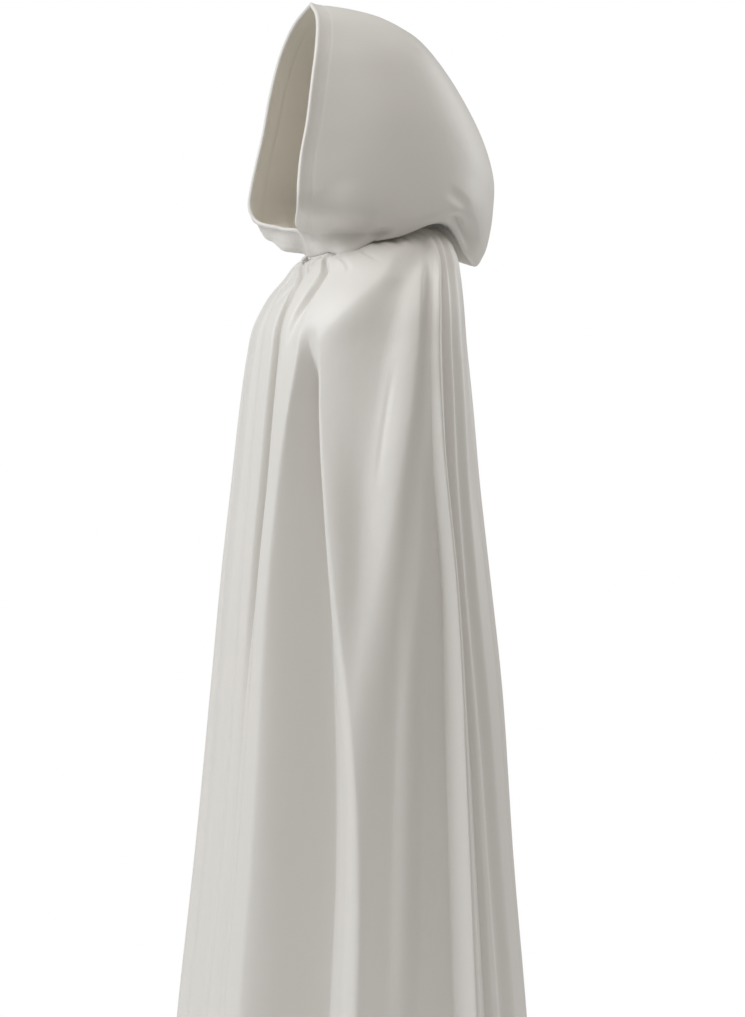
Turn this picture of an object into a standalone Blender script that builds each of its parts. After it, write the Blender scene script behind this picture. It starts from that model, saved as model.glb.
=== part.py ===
"""A full-length hooded cloak in satin, closed at the neck, in the hollow shape it has when worn.

Metres, +Z up. The garment faces -Y and its wearer's left is +X. The origin is the middle of the
neck opening, level with the front of the neck seam. Angles round the body are in degrees:
0 is the middle of the front, 90 the wearer's left side, 180 the middle of the back.
"""

import math

import bpy
import numpy as np

WALL = 0.0015  # thickness of the cloth with its turned edges
SEAM_GAP = 0.0003  # clearance between two pieces sewn together
SEAM_LIFT = 0.0019  # how far the hood's lower edge stands above the neck edge of the cape

# The outline of the cape: one row for each ring, from the neck seam to the hem.
# half_width: sideways. front, back: depth of the ring before and behind the axis.
# z_front, z_side, z_back: height of the ring in the middle of the front, at the side, behind.
RING_COLUMNS = ("half_width", "front", "back", "z_front", "z_side", "z_back")
RINGS = {
    "neck": (0.080, 0.079, 0.085, -0.004, 0.019, 0.050),
    "collar": (0.105, 0.096, 0.117, -0.014, 0.010, 0.040),
    "slope": (0.150, 0.110, 0.137, -0.036, -0.012, 0.006),
    "shoulder": (0.194, 0.133, 0.138, -0.067, -0.042, -0.032),
    "shoulder_point": (0.222, 0.152, 0.1375, -0.106, -0.082, -0.076),
    "upper_arm": (0.238, 0.161, 0.1385, -0.150, -0.137, -0.132),
    "chest": (0.250, 0.171, 0.1455, -0.222, -0.215, -0.215),
    "waist": (0.266, 0.184, 0.1555, -0.340, -0.340, -0.340),
    "elbow": (0.281, 0.197, 0.1685, -0.457, -0.457, -0.457),
    "hip": (0.303, 0.213, 0.188, -0.635, -0.635, -0.635),
    "thigh": (0.331, 0.235, 0.203, -0.872, -0.872, -0.872),
    "calf": (0.358, 0.261, 0.224, -1.109, -1.109, -1.109),
    "hem": (0.393, 0.291, 0.249, -1.420, -1.420, -1.420),
}

RIM_POWER = 1.3  # how soon a tilted ring turns from its height at the side to its front or back

# Distances down the cloth from the neck seam at which the tables below give an angle.
STATIONS = (0.0, 0.08, 0.17, 0.35, 0.60, 0.90, 1.50)

# Where one piece of the cape ends and the next begins, in degrees at each station.
EDGES = {
    "left_opening": (0.8, 12.0, 13.6, 14.8, 14.6, 14.8, 16.0),
    "left_side_seam": (138.0, 124.0, 113.0, 106.5, 107.0, 107.5, 106.0),
    "right_side_seam": (-140.0, -130.0, -119.0, -107.5, -106.0, -107.0, -109.0),
}

# The hanging folds: one row for each trough between two ridges, or for a ridge that stands out.
# angles: its middle, in degrees at each station. before, after: how many degrees it reaches
# towards the lower and the higher angles. depths: millimetres, below zero for a ridge. All three
# are given at the neck, chest, waist, hip and hem. start: how far down it begins. narrow: above 1
# for a narrow floor, below 1 for a broad one. crisp: 1 where its sides are flat, 0 where round.
FOLD_LEVELS = (0.12, 0.25, 0.45, 0.80, 1.50)
FOLD_RISE = 0.12  # distance over which a trough deepens from its start
FOLD_COLUMNS = ("angles", "before", "after", "depths", "start", "narrow", "crisp")
FOLDS = {
    "front_right": (
        (-5, -5, -2, 0, 2, 3, 3), (4, 5, 5, 6, 7), (4, 5, 5, 6, 7),
        (2, 4, 5, 7, 12), 0.06, 1.0, 0,
    ),
    "opening_groove": (
        (0.8, 12, 13.0, 14.2, 14, 14.2, 15.5), (3.0, 2.8, 2.6, 2.4, 2.4), (3.4, 4, 4, 3.4, 3.4),
        (4, 8, 9, 4, 4), 0.0, 1.3, 0,
    ),
    "closure_crease": (
        (35, 35, 26, 20, 20, 20, 20), (4, 4, 4, 4, 4), (5, 5, 5, 5, 5),
        (9, 0, 0, 0, 0), -0.03, 1.0, 0,
    ),
    "front_valley": (
        (27, 29, 33, 33, 36, 41, 43), (4, 4.5, 10.5, 17, 20), (6, 8, 13.5, 20, 17),
        (10, 30, 56, 72, 74), 0.18, 0.8, 0.5,
    ),
    "swag": (
        (129, 101, 79, 64, 61.5, 58, 56), (16, 38, 16, 6, 5), (12, 21, 18, 10, 8),
        (10, 22, 18, 2, 0), -0.03, 1.0, 0,
    ),
    "arm_panel": (
        (128, 112, 100, 90, 80, 75.5, 74), (6, 6, 9, 19, 23), (5, 5, 10, 24, 28),
        (5, 4, 4, 14, 21), 0.0, 1.0, 0,
    ),
    "arm_valley": (
        (105, 100, 98, 97.5, 99.0, 98.0, 96.0), (6, 6, 8, 18, 22), (3, 3, 4, 4, 4),
        (0, 0, 7, 13, 15), 0.33, 0.9, 0,
    ),
    "arm_ridge": (
        (131, 119, 107, 101.5, 102.5, 101.5, 99.5), (3.5, 3.5, 4, 4, 4), (4, 4, 4, 5, 5),
        (-6, -6, -10, -12, -12), 0.02, 1.0, 0,
    ),
    "side_seam": (
        (138, 124, 113, 106.5, 107, 107.5, 106), (4, 4, 3, 3, 3), (4, 6, 4, 3, 3),
        (4, 6, 5, 4, 5), -0.02, 1.1, 0,
    ),
    "back_left_1": (
        (150, 132, 123, 117, 115, 117, 118), (4, 5, 5, 5, 6), (8, 8, 6, 6, 7),
        (7, 9, 8, 9, 12), -0.02, 0.9, 0,
    ),
    "back_left_2": (
        (162, 155, 147, 139, 139, 141, 143), (7, 8, 8, 9, 10), (7, 9, 11, 13, 14),
        (5, 9, 14, 21, 30), 0.04, 0.8, 0,
    ),
    "back_middle": (
        (176, 174, 171, 168, 167, 167, 167), (7, 9, 11, 13, 14), (7, 8, 8, 9, 10),
        (4, 9, 14, 23, 32), 0.06, 0.8, 0,
    ),
    "back_right_2": (
        (197, 199, 201, 203, 203, 202, 200), (7, 8, 9, 11, 12), (7, 8, 9, 11, 12),
        (4, 8, 12, 18, 26), 0.05, 0.9, 0,
    ),
    "back_right_1": (
        (209, 215, 222, 228, 228, 227, 225), (6, 8, 10, 12, 13), (6, 7, 7, 8, 9),
        (6, 10, 15, 23, 33), 0.03, 0.8, 0,
    ),
    "far_seam": (
        (220, 230, 241, 252.5, 254, 253, 251), (5, 4.5, 4.5, 5.5, 7), (5, 4.5, 4.5, 5.5, 7),
        (7, 8, 9, 12, 17), -0.02, 1.1, 0,
    ),
    "far_valley": (
        (-129, -120, -108, -96, -91, -89, -87), (4, 6, 8, 12, 14), (4, 5, 6, 8, 10),
        (3, 8, 14, 23, 31), 0.12, 0.8, 0,
    ),
    "far_panel": (
        (-122, -99, -80, -70, -66, -63, -60), (10, 12, 12, 12, 13), (10, 9, 8, 8, 9),
        (9, 14, 14, 13, 22), -0.02, 1.0, 0,
    ),
    "right_front_2": (
        (-42, -45, -47, -44, -40, -38, -35), (5, 8, 11, 14, 14), (5, 6, 8, 10, 10),
        (4, 9, 15, 23, 30), 0.12, 0.8, 0,
    ),
    "right_front_1": (
        (-19, -20, -20, -19, -17, -14, -13), (4, 5, 6, 8, 9), (4, 5, 6, 8, 9),
        (4, 7, 10, 15, 20), 0.05, 1.0, 0,
    ),
}

SEAM_FLAT = 0.035  # distance below the neck seam in which the troughs level out

# Short puckers in the neck edge, where the cape is gathered into the seam.
PUCKERS = 26
PUCKER_DEPTH = 0.0022
PUCKER_LENGTH = 0.055
PUCKER_RISE = 0.006
PUCKER_SWAY = 9.0  # degrees by which the gathers crowd together in places
PUCKER_CROWDS = 3
FLAT_AT_BUTTON = 8.0  # degrees on each side of the button without puckers
FRONT_PUCKER_GAIN = 1.6  # the gathers are deeper beside the opening

# The right front passes under the left one.
LAP_ANGLE = 2.4
LAP_DROP = 0.0042
LAP_SLOPE_ANGLE = 3.2
LAP_START = 0.012
LAP_GROW = 0.050

# The hood: one row for each section across its left half, from the neck seam up to the top.
# The section runs from the front edge round the side and the back to the centre seam, at X = 0.
HOOD_COLUMNS = ("front", "side", "back", "seam")
HOOD = {
    "neck": ((0.002, -0.079, -0.002), (0.080, 0.000, 0.021), (0.052, 0.065, 0.043), (0.0, 0.087, 0.053)),
    "tuck": ((0.004, -0.0955, 0.033), (0.100, 0.004, 0.020), (0.067, 0.084, 0.047), (0.0, 0.120, 0.053)),
    "roll": ((0.035, -0.113, 0.0395), (0.111, 0.010, 0.031), (0.077, 0.100, 0.045), (0.0, 0.150, 0.022)),
    "floor": ((0.072, -0.126, 0.047), (0.117, 0.018, 0.047), (0.083, 0.115, 0.044), (0.0, 0.177, -0.012)),
    "fold": ((0.103, -0.1345, 0.0585), (0.119, 0.022, 0.062), (0.088, 0.127, 0.053), (0.0, 0.193, 0.004)),
    "corner": ((0.1135, -0.1375, 0.077), (0.120, 0.024, 0.085), (0.089, 0.135, 0.078), (0.0, 0.202, 0.030)),
    "cheek": ((0.111, -0.136, 0.100), (0.120, 0.025, 0.116), (0.086, 0.138, 0.111), (0.0, 0.2085, 0.070)),
    "ear": ((0.105, -0.130, 0.138), (0.119, 0.024, 0.155), (0.081, 0.138, 0.152), (0.0, 0.2095, 0.120)),
    "temple": ((0.1015, -0.1195, 0.187), (0.115, 0.021, 0.201), (0.077, 0.124, 0.200), (0.0, 0.192, 0.178)),
    "brow": ((0.096, -0.1105, 0.243), (0.103, 0.014, 0.249), (0.070, 0.103, 0.250), (0.0, 0.158, 0.240)),
    "forehead": ((0.083, -0.099, 0.300), (0.084, 0.004, 0.297), (0.058, 0.076, 0.296), (0.0, 0.122, 0.290)),
    "crown": ((0.053, -0.088, 0.343), (0.047, -0.008, 0.337), (0.034, 0.053, 0.329), (0.0, 0.090, 0.323)),
    "top": ((0.0, -0.080, 0.3695), (0.0, -0.020, 0.364), (0.0, 0.026, 0.3545), (0.0, 0.058, 0.342)),
}

# Soft swells and dents of the hood's cloth, a row for each: where its middle lies across and down
# the hood, how far it reaches each way in the same shares, and its height in millimetres.
HOOD_RELIEF_COLUMNS = ("across", "fall", "half_across", "half_fall", "height")
HOOD_RELIEF = {
    "swell_over_neck": (0.20, 0.925, 0.17, 0.08, 4.0),
    "tuck_behind_droop": (0.37, 0.86, 0.07, 0.07, -4.0),
    "dent_by_seam": (0.82, 0.72, 0.12, 0.10, -12.0),
    "lift_over_closure": (0.19, 0.68, 0.13, 0.22, 6.0),
}

# Where the hood's cloth hangs out over its lower edge: middle and reach as above, then how far it
# hangs outwards, back and up, in millimetres, on the left half and on the right one.
HOOD_DRAPE_COLUMNS = ("across", "fall", "half_across", "half_fall", "on_left", "on_right")
HOOD_DRAPES = {
    "droop_over_neck": (0.22, 0.93, 0.16, 0.08, (12, -9, -12), (12, -9, -12)),
    "sag_below_face": (0.09, 0.87, 0.10, 0.15, (1, -4, -6), (4, -19, -27)),
    "sag_at_corner": (0.07, 0.71, 0.08, 0.17, (0, -2, -6), (0, -9, -25)),
}
HOOD_SHARES = (0.0, 0.42, 0.76, 1.0)  # where front edge, side, back and seam lie across a section
SEAM_ROUNDNESS = 0.25  # 1 where the halves would meet in a round back, 0 in a crease
EDGE_EASE = 0.2  # how much more the front edge turns in than the straight way to the side
NECK_BLEND = 0.09  # share of the hood's height over which it leaves the ring of the neck

FRONT_COLUMNS_LEFT = 34
FRONT_COLUMNS_RIGHT = 42
BACK_COLUMNS = 50
CAPE_ROWS = 24
CAPE_ROW_GROWTH = 1.6
COLUMN_HEIGHTS = (0.25, 0.45, 0.80, 1.30)  # where the columns' places are worked out
FINE_STEPS = 1200
HOOD_COLUMNS_ACROSS = 22
HOOD_COLUMN_GROWTH = 1.25  # above 1 the columns are closer together at the front edge
HOOD_ROWS = 22
HOOD_ROW_GROWTH = 1.25  # above 1 the rows are closer together at the neck

# Small steps, along a surface's two parameters, from which its normals are worked out.
RING_STEPS = (0.5, 0.002)
PANEL_STEPS = (0.002, 0.002)
HOOD_STEPS = (0.01, 0.01)

BUTTON_ANGLE = 7.5
BUTTON_DOWN = 0.019
BUTTON_RADIUS = 0.0058
BUTTON_SEGMENTS = 20
SHANK_RADIUS = 0.0018
SHANK_HEIGHT = 0.0030
# The cap's outline: share of its radius, and height above the shank.
CAP_PROFILE = ((0.88, 0.0), (1.0, 0.0010), (0.97, 0.0020), (0.80, 0.0031), (0.45, 0.0039))
CAP_HEIGHT = 0.0042
LOOP_RADIUS = 0.0011
LOOP_POINTS = 22
LOOP_LENGTH = 0.0155
LOOP_WIDTH = 0.0086

SATIN_COLOUR = (0.71, 0.68, 0.62, 1.0)
SATIN_ROUGHNESS = 0.38
SHARP_ANGLE = 50.0  # degrees between faces above which an edge is drawn sharp


def smooth_step(values):
    share = np.clip(values, 0.0, 1.0)
    return share * share * (3.0 - 2.0 * share)


def smooth_table(knots, table, where):
    """Values of each column of a table at the places given, on a smooth curve through its rows."""
    knots = np.asarray(knots, float)
    table = np.asarray(table, float)
    steps = np.diff(knots)[:, None]
    slopes = np.diff(table, axis=0) / steps
    tangents = np.vstack([slopes[:1], 0.5 * (slopes[1:] + slopes[:-1]), slopes[-1:]])
    flat = np.atleast_1d(where).ravel()
    row = np.clip(np.searchsorted(knots, flat) - 1, 0, len(knots) - 2)
    width = steps[row]
    t = ((flat - knots[row])[:, None]) / width
    start = (2 * t**3 - 3 * t**2 + 1) * table[row] + (t**3 - 2 * t**2 + t) * width * tangents[row]
    end = (3 * t**2 - 2 * t**3) * table[row + 1] + (t**3 - t**2) * width * tangents[row + 1]
    return (start + end).reshape(np.shape(where) + (table.shape[1],))


def column_of(rows, columns, name):
    return np.array([row[columns.index(name)] for row in rows.values()])


def ring_distances():
    """How far down the cloth each ring lies, measured along the side."""
    out = column_of(RINGS, RING_COLUMNS, "half_width")
    height = column_of(RINGS, RING_COLUMNS, "z_side")
    return np.concatenate([[0.0], np.cumsum(np.hypot(np.diff(out), np.diff(height)))])


RING_DOWN = ring_distances()
CAPE_LENGTH = float(RING_DOWN[-1])


def ring_point(angle, down):
    """A point of the cape's plain outline, before any fold."""
    ring = smooth_table(RING_DOWN, list(RINGS.values()), down)
    value = {name: ring[..., k] for k, name in enumerate(RING_COLUMNS)}
    turn = np.radians(angle)
    forward = np.cos(turn)
    before = forward > 0
    depth = np.where(before, value["front"], value["back"])
    rim = np.where(before, value["z_front"], value["z_back"])
    height = value["z_side"] + (rim - value["z_side"]) * abs(forward) ** RIM_POWER
    return np.stack([value["half_width"] * np.sin(turn), -depth * forward, height], axis=-1)


def normals_of(surface, first, second, steps):
    """Unit normals of a surface, from points a small step away on each side.

    They face outwards where the first parameter runs round the body and the second one runs down.
    """
    along = surface(first + steps[0], second) - surface(first - steps[0], second)
    downwards = surface(first, second + steps[1]) - surface(first, second - steps[1])
    normal = np.cross(downwards, along)
    return normal / np.linalg.norm(normal, axis=-1, keepdims=True)


def edge_angle(name, down):
    return smooth_table(STATIONS, [[angle] for angle in EDGES[name]], down)[..., 0]


def fold_depth(angle, down):
    """How far inwards the cloth lies below the line of its ridges."""
    total = np.zeros(np.shape(angle))
    for row in FOLDS.values():
        fold = dict(zip(FOLD_COLUMNS, row))
        middle = smooth_table(STATIONS, np.transpose([fold["angles"]]), down)[..., 0]
        levels = np.clip(down, FOLD_LEVELS[0], FOLD_LEVELS[-1])
        columns = np.transpose([fold["before"], fold["after"], fold["depths"]])
        before, after, depth = np.moveaxis(smooth_table(FOLD_LEVELS, columns, levels), -1, 0)
        away = (angle - middle + 180.0) % 360.0 - 180.0
        share = np.clip(away / np.where(away < 0, before, after), -1.0, 1.0)
        round_sides = (0.5 + 0.5 * np.cos(math.pi * share)) ** fold["narrow"]
        flat_sides = 1.0 - abs(share)
        across = (1.0 - fold["crisp"]) * round_sides + fold["crisp"] * flat_sides
        grown = smooth_step((down - fold["start"]) / FOLD_RISE) * smooth_step(down / SEAM_FLAT)
        total += 0.001 * depth * grown * across
    gain = 1.0 + (FRONT_PUCKER_GAIN - 1.0) * np.clip(np.cos(np.radians(angle)), 0.0, 1.0)
    swayed = angle + PUCKER_SWAY * np.sin(np.radians(PUCKER_CROWDS * angle))
    wave = 0.5 - 0.5 * np.cos(np.radians(swayed) * PUCKERS)
    fade = 1.0 - smooth_step(down / PUCKER_LENGTH)
    near_seam = smooth_step(down / PUCKER_RISE)
    beside = abs((angle - BUTTON_ANGLE + 180.0) % 360.0 - 180.0)
    flat_at_button = smooth_step((beside - FLAT_AT_BUTTON) / FLAT_AT_BUTTON)
    return total + PUCKER_DEPTH * gain * wave * fade * near_seam * flat_at_button


def cape_surface(angle, down, lap=0.0):
    """A point in the middle of the cape's wall. lap is how far it is pressed in by the left front."""
    normal = normals_of(ring_point, angle, down, RING_STEPS)
    inwards = fold_depth(angle, down) + lap
    return ring_point(angle, down) - normal * inwards[..., None]


def left_front_surface(share, down):
    start = edge_angle("left_opening", down)
    end = edge_angle("left_side_seam", down)
    return cape_surface(start + (end - start) * share, down)


def right_opening_angle(down):
    opening = edge_angle("left_opening", down)
    crossed = smooth_step((down - LAP_START) / LAP_GROW)
    return -EDGES["left_opening"][0] * (1.0 - crossed) + (opening + LAP_ANGLE) * crossed


def right_front_surface(share, down):
    start = right_opening_angle(down)
    end = edge_angle("right_side_seam", down)
    angle = start + (end - start) * share
    slope = smooth_step((angle - edge_angle("left_opening", down) + LAP_SLOPE_ANGLE) / LAP_SLOPE_ANGLE)
    lap = LAP_DROP * slope * smooth_step(down / LAP_START)
    return cape_surface(angle, down, lap)


def back_surface(share, down):
    start = edge_angle("left_side_seam", down)
    end = edge_angle("right_side_seam", down) + 360.0
    return cape_surface(start + (end - start) * share, down)


def hermite(start, end, leave, arrive, t):
    return (
        (2 * t**3 - 3 * t**2 + 1) * start
        + (t**3 - 2 * t**2 + t) * leave
        + (3 * t**2 - 2 * t**3) * end
        + (t**3 - t**2) * arrive
    )


def hood_section(across, fall):
    """A point of the hood's left half.

    across is 0 at the front edge and 1 at the centre seam; fall is 0 at the top and 1 at the neck.
    """
    table = np.array(list(HOOD.values())).reshape(len(HOOD), -1)
    rows = smooth_table(np.linspace(0.0, 1.0, len(HOOD)), table, 1.0 - fall)
    front, side, back, seam = np.moveaxis(rows.reshape(rows.shape[:-1] + (len(HOOD_COLUMNS), 3)), -2, 0)
    knots = HOOD_SHARES
    slopes = [
        (side - front) / (knots[1] - knots[0]),
        (back - side) / (knots[2] - knots[1]),
        (seam - back) / (knots[3] - knots[2]),
    ]
    at_side = 0.5 * (slopes[0] + slopes[1])
    at_back = 0.5 * (slopes[1] + slopes[2])
    sideways = np.array([-1.0, 0.0, 0.0]) * np.linalg.norm(slopes[2], axis=-1, keepdims=True)
    at_seam = SEAM_ROUNDNESS * sideways + (1.0 - SEAM_ROUNDNESS) * slopes[2]
    tangents = [(1.0 + EDGE_EASE) * slopes[0] - EDGE_EASE * at_side, at_side, at_back, at_seam]
    points = [front, side, back, seam]
    across = across[..., None]
    made = front
    for k in range(3):
        width = knots[k + 1] - knots[k]
        t = np.clip((across - knots[k]) / width, 0.0, 1.0)
        piece = hermite(points[k], points[k + 1], width * tangents[k], width * tangents[k + 1], t)
        made = np.where(across >= knots[k], piece, made)
    return made


def swell_share(swell, across, fall):
    """1 in the middle of a swell, falling softly to 0 at its reach."""
    sideways = (across - swell["across"]) / swell["half_across"]
    downwards = (fall - swell["fall"]) / swell["half_fall"]
    return 1.0 - smooth_step(np.hypot(sideways, downwards))


def hood_relief(across, fall):
    """How far the cloth swells out, in metres, below zero in a dent."""
    total = np.zeros(np.shape(across))
    for row in HOOD_RELIEF.values():
        swell = dict(zip(HOOD_RELIEF_COLUMNS, row))
        total += 0.001 * swell["height"] * swell_share(swell, across, fall)
    return total


def hood_drape(across, fall, side):
    """How far the cloth hangs out over its lower edge, as vectors in metres."""
    total = np.zeros(np.shape(across) + (3,))
    for row in HOOD_DRAPES.values():
        drape = dict(zip(HOOD_DRAPE_COLUMNS, row))
        hang = np.array(drape["on_left"] if side > 0 else drape["on_right"])
        total += 0.001 * hang * swell_share(drape, across, fall)[..., None]
    return total


def hood_surface(across, fall, side):
    """A half of the hood before it is mirrored, with its lower edge laid on the ring of the neck."""
    across = np.clip(across, 0.0, 1.0)
    fall = np.clip(fall, 0.0, 1.0)
    start = EDGES["left_opening"][0]
    neck_angle = start + (180.0 - start) * across
    neck = ring_point(neck_angle, np.zeros_like(across)) + np.array([0.0, 0.0, SEAM_LIFT])
    fade = 1.0 - smooth_step((1.0 - fall) / NECK_BLEND)
    shift = neck - hood_section(across, np.ones_like(fall))
    inside = [np.clip(share, HOOD_STEPS[0], 1.0 - HOOD_STEPS[0]) for share in (across, fall)]
    normal = normals_of(hood_section, *inside, HOOD_STEPS)
    raised = hood_relief(across, fall) * (1.0 - fade)
    plain = hood_section(across, fall) + shift * fade[..., None] + normal * raised[..., None]
    return plain + hood_drape(across, fall, side)


def material(name, colour, roughness):
    finish = bpy.data.materials.new(name)
    finish.use_nodes = True
    shader = finish.node_tree.nodes["Principled BSDF"]
    shader.inputs["Base Color"].default_value = colour
    shader.inputs["Roughness"].default_value = roughness
    shader.inputs["Metallic"].default_value = 0.0
    return finish


def mesh_object(name, points, faces, finish):
    mesh = bpy.data.meshes.new(name)
    mesh.from_pydata(points, [], faces)
    mesh.materials.append(finish)
    mesh.shade_smooth()
    mesh.set_sharp_from_angle(angle=math.radians(SHARP_ANGLE))
    made = bpy.data.objects.new(name, mesh)
    bpy.context.collection.objects.link(made)
    return made


def pulled_in(middle, border, neighbour):
    """Moves a border column half a seam's gap towards its neighbour."""
    step = middle[:, neighbour] - middle[:, border]
    length = np.linalg.norm(step, axis=-1, keepdims=True)
    middle[:, border] += step / length * SEAM_GAP / 2


def wall_sides(surface, shares, heights):
    """The middle of a wall as a grid of points, a row for each height, and its outward normals."""
    first, second = np.meshgrid(shares, heights)
    return surface(first, second), normals_of(surface, first, second, PANEL_STEPS)


def wall_mesh(name, outer, inner, finish):
    """A closed solid between two grids of points; outer is the side that faces away."""
    rows, columns, _ = outer.shape
    count = rows * columns
    points = np.concatenate([outer.reshape(-1, 3), inner.reshape(-1, 3)])
    index = np.arange(count).reshape(rows, columns)
    faces = []
    for i in range(rows - 1):
        for j in range(columns - 1):
            quad = (index[i, j], index[i + 1, j], index[i + 1, j + 1], index[i, j + 1])
            first = np.linalg.norm(points[quad[0]] - points[quad[2]])
            second = np.linalg.norm(points[quad[1]] - points[quad[3]])
            turn = 0 if first <= second else 1
            a, b, c, d = (quad[(turn + k) % 4] for k in range(4))
            faces += [(a, b, c), (a, c, d)]
            faces += [(c + count, b + count, a + count), (d + count, c + count, a + count)]
    rim = list(index[0, :]) + list(index[1:, -1]) + list(index[-1, -2::-1]) + list(index[-2:0:-1, 0])
    for here, following in zip(rim, rim[1:] + rim[:1]):
        faces.append((here, following, following + count, here + count))
    return mesh_object(name, points.tolist(), [tuple(map(int, face)) for face in faces], finish)


def column_shares(surface, columns):
    """Places for the columns of a panel: closer together where the folded cloth is long or turns."""
    shares = np.linspace(0.0, 1.0, FINE_STEPS + 1)
    crowding = np.zeros(FINE_STEPS)
    for down in COLUMN_HEIGHTS:
        steps = np.diff(surface(shares, np.full_like(shares, down)), axis=0)
        lengths = np.linalg.norm(steps, axis=-1)
        ways = steps / lengths[:, None]
        turns = np.linalg.norm(np.gradient(ways, axis=0), axis=-1)
        crowding += lengths / lengths.sum() + turns / turns.sum()
    reached = np.concatenate([[0.0], np.cumsum(crowding)])
    return np.interp(np.linspace(0.0, reached[-1], columns + 1), reached, shares)


def cape_panel(name, surface, columns, seam_borders):
    """One panel of the cape. seam_borders names the borders that are sewn to a neighbour."""
    shares = column_shares(surface, columns)
    heights = CAPE_LENGTH * np.linspace(0.0, 1.0, CAPE_ROWS + 1) ** CAPE_ROW_GROWTH
    middle, normal = wall_sides(surface, shares, heights)
    if "first" in seam_borders:
        pulled_in(middle, 0, 1)
    if "last" in seam_borders:
        pulled_in(middle, -1, -2)
    outer = middle + normal * WALL / 2
    inner = middle - normal * WALL / 2
    return wall_mesh(name, outer, inner, material(name + "_satin", SATIN_COLOUR, SATIN_ROUGHNESS))


def hood_half(name, side):
    """One half of the hood. side is 1 for the wearer's left and -1 for the right."""
    shares = np.linspace(0.0, 1.0, HOOD_COLUMNS_ACROSS + 1) ** HOOD_COLUMN_GROWTH
    heights = 1.0 - np.linspace(1.0, 0.0, HOOD_ROWS + 1) ** HOOD_ROW_GROWTH
    middle, normal = wall_sides(lambda across, fall: hood_surface(across, fall, side), shares, heights)
    walls = []
    for offset in (WALL / 2, -WALL / 2):
        points = middle + normal * offset
        points[:, -1, 0] = SEAM_GAP / 2
        points[0, :, 0] = SEAM_GAP / 2
        points[..., 0] *= side
        walls.append(points if side > 0 else points[:, ::-1])
    return wall_mesh(name, *walls, material(name + "_satin", SATIN_COLOUR, SATIN_ROUGHNESS))


def closure_place():
    """The point on the left front's outer face where the button sits, and its three directions."""
    angle = np.array(BUTTON_ANGLE)
    down = np.array(BUTTON_DOWN)
    outwards = normals_of(cape_surface, angle, down, RING_STEPS)
    across = ring_point(angle - RING_STEPS[0], down) - ring_point(angle + RING_STEPS[0], down)
    across = across - outwards * np.dot(across, outwards)
    across = across / np.linalg.norm(across)
    upwards = np.cross(outwards, across)
    place = cape_surface(angle, down) + outwards * (WALL / 2 + SEAM_GAP)
    return place, across, upwards, outwards


def neck_button():
    """A small button covered in satin: a shank, and a domed cap with a rounded rim."""
    place, across, upwards, outwards = closure_place()
    profile = [(SHANK_RADIUS, 0.0), (SHANK_RADIUS, SHANK_HEIGHT)]
    profile += [(BUTTON_RADIUS * share, SHANK_HEIGHT + height) for share, height in CAP_PROFILE]
    points = []
    for radius, height in profile:
        for k in range(BUTTON_SEGMENTS):
            turn = 2 * math.pi * k / BUTTON_SEGMENTS
            spoke = math.cos(turn) * across + math.sin(turn) * upwards
            points.append(place + radius * spoke + height * outwards)
    foot = len(points)
    points.append(place)
    points.append(place + (SHANK_HEIGHT + CAP_HEIGHT) * outwards)
    faces = []
    for ring in range(len(profile) - 1):
        for k in range(BUTTON_SEGMENTS):
            here = ring * BUTTON_SEGMENTS + k
            beside = ring * BUTTON_SEGMENTS + (k + 1) % BUTTON_SEGMENTS
            faces.append((here, beside, beside + BUTTON_SEGMENTS, here + BUTTON_SEGMENTS))
    last = (len(profile) - 1) * BUTTON_SEGMENTS
    for k in range(BUTTON_SEGMENTS):
        beside = (k + 1) % BUTTON_SEGMENTS
        faces.append((foot, beside, k))
        faces.append((foot + 1, last + k, last + beside))
    finish = material("button_satin", SATIN_COLOUR, SATIN_ROUGHNESS)
    mesh_object("neck_button", [tuple(point) for point in points], faces, finish)


def neck_loop():
    """The thin fabric loop, sewn to the right front, that goes round the button's shank."""
    place, across, upwards, outwards = closure_place()
    lift = outwards * (LOOP_RADIUS + SEAM_GAP)
    curve = bpy.data.curves.new("neck_loop", "CURVE")
    curve.dimensions = "3D"
    curve.bevel_depth = LOOP_RADIUS
    curve.bevel_resolution = 1
    spline = curve.splines.new("POLY")
    spline.points.add(LOOP_POINTS - 1)
    spline.use_cyclic_u = True
    for k in range(LOOP_POINTS):
        turn = 2 * math.pi * k / LOOP_POINTS
        reach = LOOP_LENGTH / 2 * (1.0 + math.cos(turn)) - SHANK_RADIUS - LOOP_RADIUS - SEAM_GAP
        spread = LOOP_WIDTH / 2 * math.sin(turn)
        point = place + lift + reach * across + spread * upwards
        spline.points[k].co = (*point, 1.0)
    curve.materials.append(material("loop_satin", SATIN_COLOUR, SATIN_ROUGHNESS))
    made = bpy.data.objects.new("neck_loop", curve)
    bpy.context.collection.objects.link(made)


for old in list(bpy.data.objects):
    bpy.data.objects.remove(old, do_unlink=True)

cape_panel("front_left", left_front_surface, FRONT_COLUMNS_LEFT, ("last",))
cape_panel("front_right", right_front_surface, FRONT_COLUMNS_RIGHT, ("last",))
cape_panel("back", back_surface, BACK_COLUMNS, ("first", "last"))
hood_half("hood_left", 1)
hood_half("hood_right", -1)
neck_button()
neck_loop()
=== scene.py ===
import math
from functools import partial

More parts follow.
